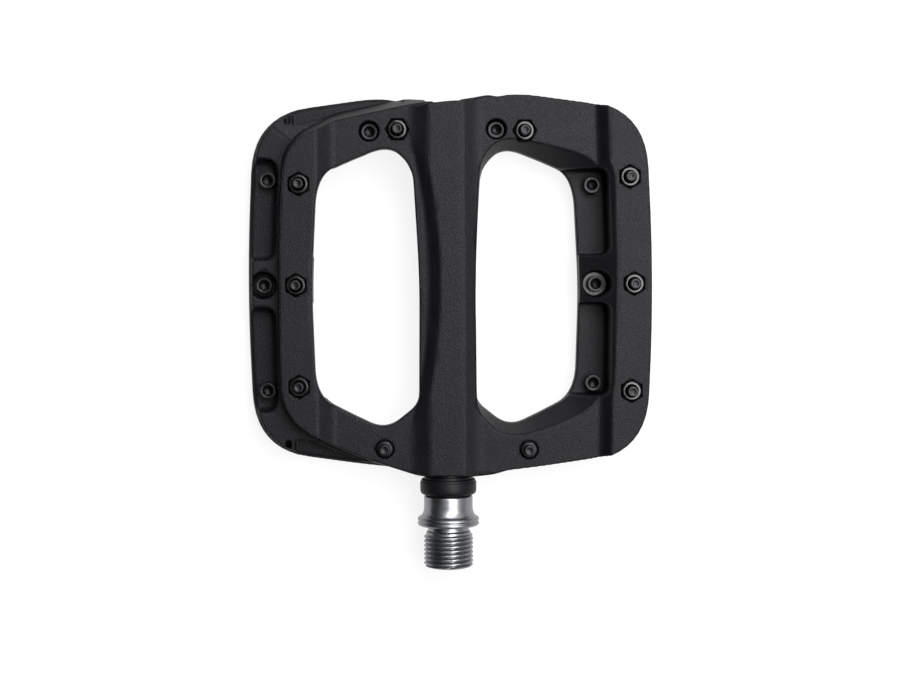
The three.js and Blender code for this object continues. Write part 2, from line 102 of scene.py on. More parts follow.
GRID_STEP = 0.28
ADAPTIVITY = 0.05                                # how freely flat areas get larger faces, from 0 to 1
EDGE = 0.4                                       # radius of the moulding's outer edges
SOFT_EDGE = 0.25                                 # radius of its smaller edges
FINE_EDGE = 0.15                                 # radius round the recesses of the fasteners
CRISP = 0.1                                      # radius of pin holes and of the floors of nut recesses
BLEND = 0.3                                      # radius where parts of the moulding meet
FILLET = 1.2                                     # radius of the pocket floors
LEDGE_FILLET = 2.2                               # the same in the ledge's pockets beside the pins
END_FILLET = 0.4                                 # the same in the pockets at the ledge's ends
DROP_FILLET = 0.8                                # radius where the cross members meet the rails

# Corners are (x, y, reach): the corner is rounded from `reach` before it to `reach` after it.
SIDE_OUTLINE = [
    (6, -54.8, 2), (24, -53.0, 8), (56.6, -48.3, 17), (58.7, 0, 28), (56.4, 49.8, 17), (20, 54.8, 7),
    (12.5, 53.5, 3), (6.3, 52.1, 2), (1.5, 52.1, 2), (-6, 51.3, 2), (-11, 50.3, 2), (-33, 45.7, 4),
    (-44.6, 40.6, 5), (-46.9, 30, 8), (-47.8, 0, 25), (-47.2, -38.0, 10), (-30, -47.2, 9), (-8.0, -54.5, 2),
]
FOOT_OUTLINE = [
    (6, -56.4, 2), (24, -54.6, 8), (58.3, -49.9, 17), (60.4, 0, 28), (58.1, 51.7, 17), (20, 58.2, 7),
    (12.5, 56.0, 3), (6.3, 54.6, 2), (1.5, 54.6, 2), (-6, 54.0, 2), (-11, 54.1, 2), (-33, 49.6, 4),
    (-43.2, 44.4, 3), (-47.9, 38.0, 5), (-48.7, 0, 25), (-48.1, -38.9, 10), (-30.5, -48.8, 9),
    (-8.4, -56.1, 2),
]
WINDOW = [
    (8.3, -34.0, 3), (17.8, -41.6, 5), (27, -37.2, 2), (37.5, -31.8, 8), (38.6, -1, 8),
    (37.0, 31.3, 9), (27, 35.7, 2), (16.2, 40.0, 6), (9.8, 33.4, 4), (8.0, 2, 10),
]
FLARE = [
    (8.3, -36.9, 3), (14.8, -44.4, 4), (27, -43.8, 8), (47.0, -35.6, 9), (48.0, -2, 15),
    (47.4, 37.4, 9), (30, 41.4, 9), (14.6, 43.0, 6), (9.2, 36.3, 4), (8.0, 2, 10),
]
# Pockets in the ledge: two beside the pins, then a long one and a small notch at each end.
LEDGE_POCKETS = [
    [(-70, 7.2, 1), (-49.4, 7.2, 3.5), (-48.4, 36.4, 4), (-70, 36.4, 1)],
    [(-70, -36.6, 1), (-48.9, -36.6, 4), (-49.4, -6.2, 3.5), (-70, -6.2, 1)],
]
END_POCKETS = [
    [(-44.4, 45.9, 0.8), (-28, 50.0, 3), (-6, 54.9, 1), (-6, 70, 1), (-44.4, 70, 1)],
    [(-46.6, 46.2, 1.2), (-44.9, 46.2, 1), (-44.9, 49.2, 1.2), (-46.6, 49.2, 1.2)],
    [(-44.4, -70, 1), (-8, -70, 1), (-8, -56.5, 1), (-21.7, -52.2, 4), (-34, -47.6, 2), (-40.6, -44.4, 2),
     (-44.4, -44.8, 0.8)],
    [(-46.9, -47.0, 0.9), (-45.2, -47.0, 0.9), (-45.2, -44.8, 0.9), (-46.9, -44.8, 0.9)],
]
INNER_POCKETS = [
    [(30, 8.2, 1), (46.7, 8.2, 3), (46.0, 33.2, 3), (30, 33.2, 1)],
    [(30, -32.2, 1), (46.2, -32.2, 3), (46.7, -5.2, 3), (30, -5.2, 1)],
]
# A fine groove across the ledge's corner; beyond it the corner slopes down.
CREASE = {"x": -47.0, "y": 43.2, "turn": -0.68, "fall": 0.35, "groove": 0.3, "edge": 0.2}
# The flange's wall seen from the ledge: how far inside the outline it stands at each height.
TUCK = {"heights": [-LEDGE_Z, 4.5, 5.5, RAIL_Z], "inset": [1.9, 1.3, 0.35, 0.0]}
OUTER_HEAD_X = -53.0                             # the counterbore of the head in the ledge
INNER_HEAD_X = 43.0                              # the counterbore of the head inside the rail
CROSS_LOW = [(-32.6, -70, 1), (43.4, -70, 1), (44.4, 0, 9), (42.2, 70, 1), (-32.6, 70, 1)]
CROSS_WIDE = [(-38.5, -70, 1), (47.0, -70, 1), (48.0, 0, 9), (45.8, 70, 1), (-38.5, 70, 1)]
# Upper half of the tube's section; it runs out in wide hollows into the cross members.
TUBE_SECTION = [(-13, CROSS_Z - 0.1, 0), (-9.8, CROSS_Z, 2.4), (-5.4, TUBE_Z, 0.5), (4.6, TUBE_Z, 0.5),
                (9.3, CROSS_Z, 2.1), (13, CROSS_Z - 0.1, 0)]

RAIL_BOLTS = [f"{row}_{place}" for row in ("outer", "inner") for place in ("outboard", "middle", "inboard")]
CROSS_BOLTS = ["cross_left", "cross_right"]
SCREWED_PINS = ["inboard_left", "inboard_right"]


# ---- outlines ----

def rounded(corners, steps=10, closed=True):
    """Points of an outline whose corners are rounded off by quadratic curves."""
    count = len(corners)
    points = []
    for i, (x, y, reach) in enumerate(corners):
        corner = np.array([x, y], float)
        if not closed and i in (0, count - 1) or reach == 0:
            points.append(corner)
            continue
        ends = []
        for other in (corners[i - 1], corners[(i + 1) % count]):
            step = np.array(other[:2]) - corner
            ends.append(corner + step * min(reach / np.linalg.norm(step), 0.49))
        for t in np.linspace(0, 1, steps + 1):
            points.append((1 - t) ** 2 * ends[0] + 2 * t * (1 - t) * corner + t * t * ends[1])
    return np.array(points)


def angles(count):
    """Evenly spaced angles of a full turn."""
    return np.arange(count) * 2 * math.pi / count


def distance_to(outline, x, y):
    """Signed distance from each (x, y) to a closed outline, negative inside."""
    nearest = np.full(np.broadcast(x, y).shape, np.inf, np.float32)
    inside = np.zeros(nearest.shape, bool)
    for (ax, ay), (bx, by) in zip(outline, np.roll(outline, -1, axis=0)):
        dx, dy = bx - ax, by - ay
        length2 = dx * dx + dy * dy
        if length2 < 1e-12:
            continue
        t = np.clip(((x - ax) * dx + (y - ay) * dy) / length2, 0, 1)
        nearest = np.minimum(nearest, (x - ax - t * dx) ** 2 + (y - ay - t * dy) ** 2)
        if ay != by:
            crosses = ((ay > y) != (by > y)) & (x < ax + dx * (y - ay) / dy)
            inside ^= crosses
    return np.where(inside, -1, 1).astype(np.float32) * np.sqrt(nearest)


# ---- distance fields ----

def meet(a, b, r):
    """What lies inside both, with the edge between them rounded."""
    corner = np.hypot(np.maximum(a + r, 0), np.maximum(b + r, 0))
    return np.minimum(np.maximum(a, b), -r) + corner


def join(a, b, r):
    return -meet(-a, -b, r)


def cut(a, b, r):
    return meet(a, -b, r)


def over(field):
    """The field of the same thing after half a turn about the spindle."""
    return field[::-1, :, ::-1]


def smoothstep(value, start, end):
    t = np.clip((value - start) / (end - start), 0, 1)
    return t * t * (3 - 2 * t)


class Grid:
    """Sample points round the platform; half a turn about the spindle maps them on themselves."""

    def __init__(self, step):
        low, high = node_box("platform")
        margin = 3 * step
        half_x = math.ceil((high.x + margin) / step)
        half_z = math.ceil((high.z + margin) / step)
        self.step = step
        first_y = low.y - ROW_Y - margin
        rows = math.ceil((high.y - low.y + 2 * margin) / step)
        self.xs = (np.arange(-half_x, half_x + 1) * step).astype(np.float32)
        self.ys = (first_y + np.arange(rows + 1) * step).astype(np.float32)
        self.zs = (np.arange(-half_z, half_z + 1) * step).astype(np.float32)
        self.x = self.xs[:, None]
        self.y = self.ys[None, :]
        self.z = self.zs[None, None, :]

    def part(self, x0, x1, y0, y1):
        """Index ranges that cover a rectangle."""
        ranges = []
        for values, start, end in ((self.xs, x0, x1), (self.ys, y0, y1)):
            ranges.append(slice(*np.searchsorted(values, [start - 1, end + 1])))
        return tuple(ranges)


def carve(field, grid, outline, low, high, r, floor_r):
    """Cuts an upright shape out of the field, from low to high; r rounds its rim and floor_r its floor."""
    x0, y0 = outline.min(axis=0)
    x1, y1 = outline.max(axis=0)
    where = grid.part(x0, x1, y0, y1)
    flat = distance_to(outline, grid.x[where[0]], grid.y[:, where[1]])[:, :, None]
    tool = meet(flat, np.maximum(low - grid.z, grid.z - high), floor_r)
    field[where] = cut(field[where], tool, r)


def ring_outline(r, x, y, count=48):
    turn = angles(count)
    return np.stack([x + r * np.cos(turn), y + r * np.sin(turn)], axis=1)


def hexagon(flats, x, y, corners_along_y):
    turn = np.arange(6) * math.pi / 3 + (math.pi / 6 if corners_along_y else 0)
    r = flats / math.sqrt(3)
    return np.stack([x + r * np.cos(turn), y + r * np.sin(turn)], axis=1)


def carve_both(field, grid, *shape):
    carve(field, grid, *shape)
    carve(over(field), grid, *shape)


def ledge_field(grid, side):
    """The bottom side's flange and the ledge on it, with its pockets and the crease across its corner."""
    inset = np.interp(-grid.z, TUCK["heights"], TUCK["inset"]).astype(np.float32)
    ledge = meet(side[::-1] + inset, grid.z - LEDGE_Z, EDGE)
    for pocket in LEDGE_POCKETS:
        carve(ledge, grid, rounded(pocket), FLOOR_Z, FAR_Z, EDGE, LEDGE_FILLET)
    for pocket in END_POCKETS:
        carve(ledge, grid, rounded(pocket), FLOOR_Z, FAR_Z, SOFT_EDGE, END_FILLET)
    head = ring_outline(COUNTERBORE["outer"], OUTER_HEAD_X, 0)
    carve(ledge, grid, head, FLOOR_Z, FAR_Z, EDGE, FILLET)
    turn = Matrix.Rotation(CREASE["turn"], 3, "Z") @ Matrix.Rotation(-CREASE["fall"], 3, "X")
    fall = turn @ Vector((0, 0, 1))
    slope = (grid.x[:, :, None] - CREASE["x"]) * fall.x + (grid.y[:, :, None] - CREASE["y"]) * fall.y
    under = join(slope + (grid.z - LEDGE_Z) * fall.z, grid.z - FLOOR_Z, BLEND)
    groove = np.hypot(slope / math.sin(CREASE["fall"]), grid.z - LEDGE_Z) - CREASE["groove"]
    return cut(meet(ledge, under, CREASE["edge"]), groove, CRISP)


def shell_field(grid, side):
    """Rails, cross members and ledges, without the spindle tube."""
    foot = distance_to(rounded(FOOT_OUTLINE), grid.x, grid.y)[:, :, None]
    tower = side + (foot - side) * np.clip((RAIL_Z - grid.z) / (RAIL_Z - FLOOR_Z), 0, 1)
    middle = meet(tower, over(tower), EDGE)

    ledge = ledge_field(grid, side)
    shell = join(join(middle, ledge, BLEND), over(ledge), BLEND)
    shell = meet(shell, np.abs(grid.z) - RAIL_Z, EDGE)

    low = distance_to(rounded(CROSS_LOW), grid.x, grid.y)[:, :, None]
    wide = distance_to(rounded(CROSS_WIDE), grid.x, grid.y)[:, :, None]
    rise = np.clip((grid.z - CROSS_Z) / (RAIL_Z + 1 - CROSS_Z), 0, 1)
    drop = meet(low + (wide - low) * rise, CROSS_Z - grid.z, DROP_FILLET)
    return cut(cut(shell, drop, EDGE), over(drop), EDGE)


def tube_field(grid, side):
    """The spindle tube, with a long shallow arc cut into each side's left shoulder.

    Its outboard end follows the outline of the top side above the axis, and of the bottom side below it.
    """
    corners = TUBE_SECTION + [(-x, -z, reach) for x, z, reach in TUBE_SECTION]
    section = distance_to(rounded(corners), grid.x, grid.zs[None, :])[:, None, :]
    upper = smoothstep(grid.z, -2, 2)
    tube = meet(section, side * upper + side[::-1] * (1 - upper), EDGE)
    outward = grid.x[:, :, None] * SCALLOP["out_x"] + grid.z * SCALLOP["out_z"] - SCALLOP["depth_at"]
    along = grid.y[:, :, None] - SCALLOP["middle"]
    arc = np.hypot(outward - SCALLOP["radius"], along) - SCALLOP["radius"]
    return cut(cut(tube, arc, BLEND), over(arc), BLEND)


def carve_windows(shell, grid):
    """The windows, flaring towards the side they are seen from, and the pockets of the inner rows."""
    narrow = distance_to(rounded(WINDOW), grid.x, grid.y)[:, :, None]
    flare = distance_to(rounded(FLARE), grid.x, grid.y)[:, :, None]
    opening = np.clip((grid.z + LEDGE_Z) / (RAIL_Z + LEDGE_Z), 0, 1)
    window = narrow + (flare - narrow) * opening
    shell = cut(cut(shell, window, EDGE), over(window), EDGE)
    for pocket in INNER_POCKETS:
        carve_both(shell, grid, rounded(pocket), FLOOR_Z, FAR_Z, EDGE, FILLET)
    head = ring_outline(COUNTERBORE["inner"], INNER_HEAD_X, 0)
    carve_both(shell, grid, head, FLOOR_Z, FAR_Z, EDGE, FILLET)
    return shell


def bolt_places(names):
    """Where the fasteners of the top side are, from the CAD nodes."""
    for name in names:
        centre = node_centre(f"pin_top_{name}")
        yield centre.x, centre.y - ROW_Y


def carve_fasteners(field, grid):
    top = {**dict.fromkeys(RAIL_BOLTS, RAIL_Z), **dict.fromkeys(CROSS_BOLTS, CROSS_Z)}
    for (name, z), (x, y) in zip(top.items(), bolt_places(top)):
        recess = hexagon(NUT["flats"] + 2 * NUT["recess"], x, y, name in RAIL_BOLTS)
        carve_both(field, grid, recess, z - NUT["h"], FAR_Z, FINE_EDGE, CRISP)
        hole = ring_outline(PIN["r"] + GAP, x, y)
        carve_both(field, grid, hole, -FAR_Z, FAR_Z, CRISP, CRISP)
        if name in CROSS_BOLTS:
            pit = ring_outline(COUNTERBORE["cross"], x, y)
            carve_both(field, grid, pit, -FAR_Z, -COUNTERBORE["floor"], SOFT_EDGE, BLEND)
    for x, y in bolt_places(SCREWED_PINS):
        seat = ring_outline(SCREW_PIN["flats"] / 2 + SCREW_PIN["clear"], x, y)
        carve_both(field, grid, seat, CROSS_Z - SCREW_PIN["sunk"] - GAP, FAR_Z, FINE_EDGE, CRISP)
        hole = ring_outline(PIN["r"] + GAP, x, y)
        carve_both(field, grid, hole, CROSS_Z - SCREW_PIN["depth"] - GAP, FAR_Z, CRISP, CRISP)


def platform_field(grid):
    side = distance_to(rounded(SIDE_OUTLINE), grid.x, grid.y)[:, :, None]
    field = carve_windows(join(shell_field(grid, side), tube_field(grid, side), BLEND), grid)
    field = meet(field, TUBE_END_Y - grid.y[:, :, None], EDGE)
    carve_fasteners(field, grid)
    radius = np.where(grid.y < BORE["bearing_y"], BORE["r"], BORE["bearing_r"])[:, :, None]
    bore = np.hypot(grid.x[:, :, None], grid.z) - radius
    return cut(field, bore, BLEND)


def gradient_at(field, points, reach=0.6):
    """The direction in which the field grows at each point; points and reach are in grid steps."""
    def sample(at):
        base = np.clip(np.floor(at).astype(int), 0, np.array(field.shape) - 2)
        part = at - base
        total = 0
        for corner in np.ndindex(2, 2, 2):
            weight = np.prod(np.where(corner, part, 1 - part), axis=1)
            total = total + weight * field[tuple((base + corner).T)]
        return total
    slopes = [sample(points + offset) - sample(points - offset) for offset in np.eye(3) * reach]
    gradient = np.stack(slopes, axis=1)
    return gradient / np.maximum(np.linalg.norm(gradient, axis=1, keepdims=True), 1e-9)


def mesh_object(name, points, faces, material, body, replaced):
    """A piece from points in mm; it stands for the CAD nodes in `replaced`."""
    mesh = bpy.data.meshes.new(name)
    mesh.from_pydata(np.asarray(points) * MM, [], faces)
    mesh.polygons.foreach_set("use_smooth", [True] * len(mesh.polygons))
    mesh.materials.append(material)
    piece = bpy.data.objects.new(name, mesh)
    bpy.context.collection.objects.link(piece)
    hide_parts(*replaced)
    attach(piece, body)
    return piece


def make_platform(material):
    grid = Grid(GRID_STEP)
    field = np.clip(platform_field(grid), -1, 1).astype(np.float32)
    volume = openvdb.FloatGrid(1.0)
    volume.copyFromArray(field)
    points, triangles, quads = volume.convertToPolygons(isovalue=0.0, adaptivity=ADAPTIVITY)
    normals = gradient_at(field, points)
    placed = points * grid.step + [grid.xs[0], grid.ys[0] + ROW_Y, grid.zs[0]]
    faces = triangles.tolist() + quads.tolist()
    piece = mesh_object("platform_moulding", placed, faces, material, "platform", ["platform"])
    piece.data.normals_split_custom_set_from_vertices(normals)
    return piece


# ---- round pieces, as rings of points stacked along an axis ----

def hex_radius(flats, turn):
    """Distance from the middle of a hexagon to its edge at each angle; a corner is at angle 0."""
    from_flat = np.mod(turn, math.pi / 3) - math.pi / 6
    return flats / 2 / np.cos(from_flat)


def stack(rings, count):
    """Points and faces of a surface through rings of (radius, height), each per angle or single."""
    turn = angles(count)
    points = []
    for radius, height in rings:
        r = np.broadcast_to(radius, turn.shape)
        h = np.broadcast_to(height, turn.shape)
        points.append(np.stack([r * np.cos(turn), r * np.sin(turn), h], axis=1))
    faces = []
    for level in range(len(rings) - 1):
        for i in range(count):
            a = level * count + i
            b = level * count + (i + 1) % count
            faces.append((a, b, b + count, a + count))
    return np.concatenate(points), faces


def capped(rings, count):
    """A stack closed by a point on the axis at each end."""
    points, faces = stack(rings, count)
    last = (len(rings) - 1) * count
    start, end = len(points), len(points) + 1
    for i in range(count):
        j = (i + 1) % count
        faces.append((start, j, i))
        faces.append((end, last + i, last + j))
    ends = [[0, 0, float(np.mean(rings[0][1]))], [0, 0, float(np.mean(rings[-1][1]))]]
    return np.concatenate([points, ends]), faces


def looped(rings, count):
    """A stack whose last ring meets its first, for a piece with a hole."""
    return stack(rings + rings[:1], count)


def profile(corners, steps=4):
    """Rings from a profile of (radius, height, reach) corners."""
    return [tuple(point) for point in rounded(corners, steps, closed=False)]


TURNED_OVER = Matrix.Rotation(math.pi, 3, "Y")
ALONG_SPINDLE = Matrix.Rotation(-math.pi / 2, 3, "X")      # the stack's height runs along +Y


def placed(points, turn, shift):
    return np.asarray(points) @ np.array(turn).T + np.array(shift)


def add_piece(name, shape, turn, place, look, body, node, crease):
    """A piece from (points, faces), turned and then moved; edges sharper than crease degrees stay sharp."""
    points, faces = shape
    piece = mesh_object(name, placed(points, turn, place), faces, look, body, [node])
    piece.data.set_sharp_from_angle(angle=math.radians(crease))


# ---- fasteners; the small steps in their outlines soften the edges ----

FASTENER_CREASE = 35
FASTENER_TURNS = {"top": Matrix.Identity(3), "bottom": TURNED_OVER}


def tip_corners(tip):
    """Profile of a pin's tip: a rounded edge and a shallow dimple."""
    return [(PIN["r"], tip, 0.35), (0.9, tip, 0.2), (0.6, tip - 0.12, 0)]


def bolt_shape(bottom, tip, count=48):
    """A through bolt: key socket, head, shank and pin tip, from the head up."""
    key = hex_radius(PIN["key"], angles(count))
    deep = bottom + PIN["key_depth"]
    seat = bottom + PIN["head_h"]
    mouth = PIN["mouth_r"]
    socket = [
        (0.28, deep + 0.55), (key * 0.98, deep), (key, bottom + 0.35),
        (np.maximum(key, mouth - 0.12), bottom + 0.06), (mouth, bottom),
    ]
    outside = profile([
        (mouth, bottom, 0), (PIN["head_r"] - 0.02, bottom, 0.22), (PIN["head_r"], seat, 0.15),
        (PIN["r"], seat, 0.1), *tip_corners(tip),
    ])
    return capped(socket + outside[1:], count)


def nut_shape(base, count=72):
    """A hexagon nut with a chamfered top round a flat ring, and a countersunk hole."""
    edge = hex_radius(NUT["flats"], angles(count))
    high = base + NUT["h"]
    ring, sink = NUT["ring_r"], NUT["sink_r"]
    fall = (edge - ring) * NUT["chamfer"]
    rings = [
        (NUT["bore"], base), (edge - 0.1, base), (edge, base + 0.15), (edge, high - fall - 0.06),
        (edge - 0.05, high - fall), (ring + 0.06, high - 0.03), (ring - 0.06, high), (sink, high),
        (sink - 0.08, high - 0.06), (NUT["bore"], high - 0.5),
    ]
    return looped(rings, count)


def screw_pin_shape(count=48):
    """A pin on a hexagon base, with a plain end that goes down into the platform."""
    edge = hex_radius(SCREW_PIN["flats"], angles(count))
    foot = CROSS_Z - SCREW_PIN["sunk"]
    end = CROSS_Z - SCREW_PIN["depth"]
    high = foot + SCREW_PIN["base"]
    inner = SCREW_PIN["flats"] / 2 - 0.15
    fall = (edge - inner) * SCREW_PIN["chamfer"]
    rings = [
        (PIN["r"] - 0.3, end), (PIN["r"], end + 0.3), (PIN["r"], foot), (edge, foot),
        (edge, high - fall - 0.05), (edge - 0.06, high - fall), (inner, high - 0.02), (inner - 0.12, high),
    ]
    shaft = profile([(inner - 0.12, high, 0), (PIN["r"], high, 0.12), *tip_corners(CROSS_Z + PIN["rise"])])
    return capped(rings + shaft[1:], count)


def washer_shape(half, outer, count=64):
    """A flat ring, half its thickness above the middle and half below."""
    inner = PIN["r"] + WASHER_CLEAR
    corners = [
        (inner, 0, 0), (inner, -half, 0.08), (outer, -half, 0.25), (outer, half, 0.12), (inner, half, 0.08),
        (inner, 0, 0),
    ]
    return looped(profile(corners)[:-1], count)


def make_bolt(side, name, looks):
    """A through bolt and its nut; the boxes of the CAD nodes say where."""
    pin, nut = f"pin_{side}_{name}", f"nut_{side}_{name}"
    turn = FASTENER_TURNS[side]
    low, high = node_box(pin)
    bottom, tip = (low.z, high.z) if side == "top" else (-high.z, -low.z)
    place = ((low.x + high.x) / 2, (low.y + high.y) / 2, 0)
    add_piece(f"bolt_{side}_{name}", bolt_shape(bottom, tip), turn, place, looks["pin"],
              "platform", pin, FASTENER_CREASE)
    shape = nut_shape(tip - PIN["rise"] - NUT["h"] + GAP)
    spin = Matrix.Rotation(math.pi / 6 if name in RAIL_BOLTS else 0, 3, "Z")
    add_piece(f"hex_{side}_{name}", shape, turn @ spin, place, looks["nut"],
              "platform", nut, FASTENER_CREASE)


def make_screw_pin(side, name, looks):
    pin = f"pin_{side}_{name}"
    centre = node_centre(pin)
    place = (centre.x, centre.y, 0)
    add_piece(f"screw_{side}_{name}", screw_pin_shape(), FASTENER_TURNS[side], place, looks["pin"],
              "platform", pin, FASTENER_CREASE)


def make_washer(side, looks):
    washer = f"washer_{side}"
    low, high = node_box(washer)
    shape = washer_shape((high.z - low.z) / 2, (high.x - low.x) / 2)
    add_piece(f"disc_{side}", shape, FASTENER_TURNS[side], (low + high) / 2, looks["bare"],
              "platform", washer, FASTENER_CREASE)


def make_fasteners(looks):
    for side in FASTENER_TURNS:
        for name in RAIL_BOLTS + CROSS_BOLTS:
            make_bolt(side, name, looks)
        for name in SCREWED_PINS:
            make_screw_pin(side, name, looks)
        make_washer(side, looks)


# ---- spindle, collar and end cap; y is counted from the row of middle pins ----

THREAD = {"r": 7.14, "root": 6.4, "pitch": 1.27, "start": -71.5, "end": -81.9}
RINGS_PER_PITCH = 14
SPINDLE_SEGMENTS = 96
SPINDLE_CREASE = 40
SPINDLE_KEY = {"flats": 8.0, "depth": 8.0, "mouth_r": 4.9}
CAP_KEY = {"flats": 6.0, "depth": 1.9, "mouth_r": 3.9}
ON_AXIS = (0, ROW_Y, 0)

# Profiles are (radius, y, reach), the reach as in the outlines.
NECK_PROFILE = [
    (THREAD["root"], THREAD["start"], 0), (5.95, -71.1, 0.2), (5.95, -69.4, 0.2), (7.4, -69.4, 0.1),
    (7.4, -69.7, 0.1), (8.45, -69.7, 0.2), (8.9, -69.25, 0.15), (8.9, -68.75, 0.1), (8.66, -68.55, 0.08),
    (8.66, -68.25, 0.08), (8.9, -68.05, 0.1), (8.9, -67.55, 0.2), (8.5, -67.15, 0.2), (7.75, -66.85, 0.5),
    (7.05, -65.3, 1.2), (7.05, -61.3, 0.2), (6.6, -60.9, 0.1), (5.5, -60.9, 0.1), (5.5, -55.9, 0.1),
    (5.0, -55.4, 0.1), (5.0, -36, 1), (4.2, 25, 1), (4.2, 33.2, 0.1), (2.85, 33.2, 0.1), (2.85, 45.0, 0.1),
    (2.5, 45.4, 0.1), (0.3, 45.4, 0),
]
COLLAR_PROFILE = [
    (5.65, -58.5, 0), (5.65, -60.75, 0.1), (7.1, -60.75, 0.6), (7.95, -60.3, 0.7), (8.15, -59.3, 0.4),
    (8.15, -56.95, 0.12), (7.85, -56.8, 0.08), (7.85, -56.35, 0.08), (7.6, -56.1, 0.12), (6.9, -56.1, 0.1),
    (6.9, -55.45, 0.1), (5.85, -55.45, 0.1), (5.85, -55.15, 0.05), (5.65, -55.15, 0.05), (5.65, -58.5, 0),
]


def thread_rings(turn):
    """Rings of a real helical thread, from the free end to the flange."""
    pitch = THREAD["pitch"]
    heights = np.arange(THREAD["end"] + 0.3, THREAD["start"], pitch / RINGS_PER_PITCH)
    rings = []
    for height in heights:
        phase = np.mod((height - THREAD["end"]) / pitch - turn / (2 * math.pi), 1)
        crest = np.clip(1.35 - 2.7 * np.abs(phase - 0.5), 0, 1)
        fade = smoothstep(height, THREAD["start"] - 0.2, THREAD["start"] - 1.3)
        radius = THREAD["root"] + (THREAD["r"] - THREAD["root"]) * crest * fade
        chamfer = THREAD["root"] - 0.1 + height - THREAD["end"]
        rings.append((np.minimum(radius, chamfer), height))
    return rings


def make_spindle(looks):
    turn = angles(SPINDLE_SEGMENTS)
    key = hex_radius(SPINDLE_KEY["flats"], turn)
    mouth = SPINDLE_KEY["mouth_r"]
    end = THREAD["end"]
    deep = end + SPINDLE_KEY["depth"]
    socket = [
        (1.0, deep + 1.0), (key * 0.97, deep), (key, end + 0.6), (np.maximum(key, mouth - 0.15), end + 0.05),
        (mouth, end), (5.6, end),
    ]
    rings = socket + thread_rings(turn) + profile(NECK_PROFILE, 5)
    add_piece("spindle_turned", capped(rings, SPINDLE_SEGMENTS), ALONG_SPINDLE, ON_AXIS, looks["steel"],
              "spindle", "spindle", SPINDLE_CREASE)


def make_collar(looks):
    shape = looped(profile(COLLAR_PROFILE)[:-1], SPINDLE_SEGMENTS)
    add_piece("collar_moulded", shape, ALONG_SPINDLE, ON_AXIS, looks["rubber"],
              "spindle", "seal_collar", SPINDLE_CREASE)


def make_end_cap(looks):
    """The closed cap, with a neck for its sealing ring and a hexagon socket in its face."""
    key = hex_radius(CAP_KEY["flats"], angles(SPINDLE_SEGMENTS))
    mouth = CAP_KEY["mouth_r"]
    low, high = node_box("end_cap")
    back, face = low.y - ROW_Y, high.y - ROW_Y
    deep = face - CAP_KEY["depth"]
    outside = profile([
        (0.5, back, 0), (6.1, back, 0.2), (6.1, back + 2.2, 0.1), (5.4, back + 2.2, 0.1),
        (5.4, back + 3.5, 0.1), (6.45, back + 3.5, 0.1), (6.45, face, 0.35), (mouth, face, 0),
    ])
    socket = [
        (np.maximum(key, mouth - 0.35), face - 0.1), (key, face - 0.4), (key * 0.98, deep), (0.5, deep - 0.1),
    ]
    add_piece("cap_moulded", capped(outside + socket, SPINDLE_SEGMENTS), ALONG_SPINDLE, ON_AXIS,
              looks["nylon"], "platform", "end_cap", SPINDLE_CREASE)


# ---- materials ----

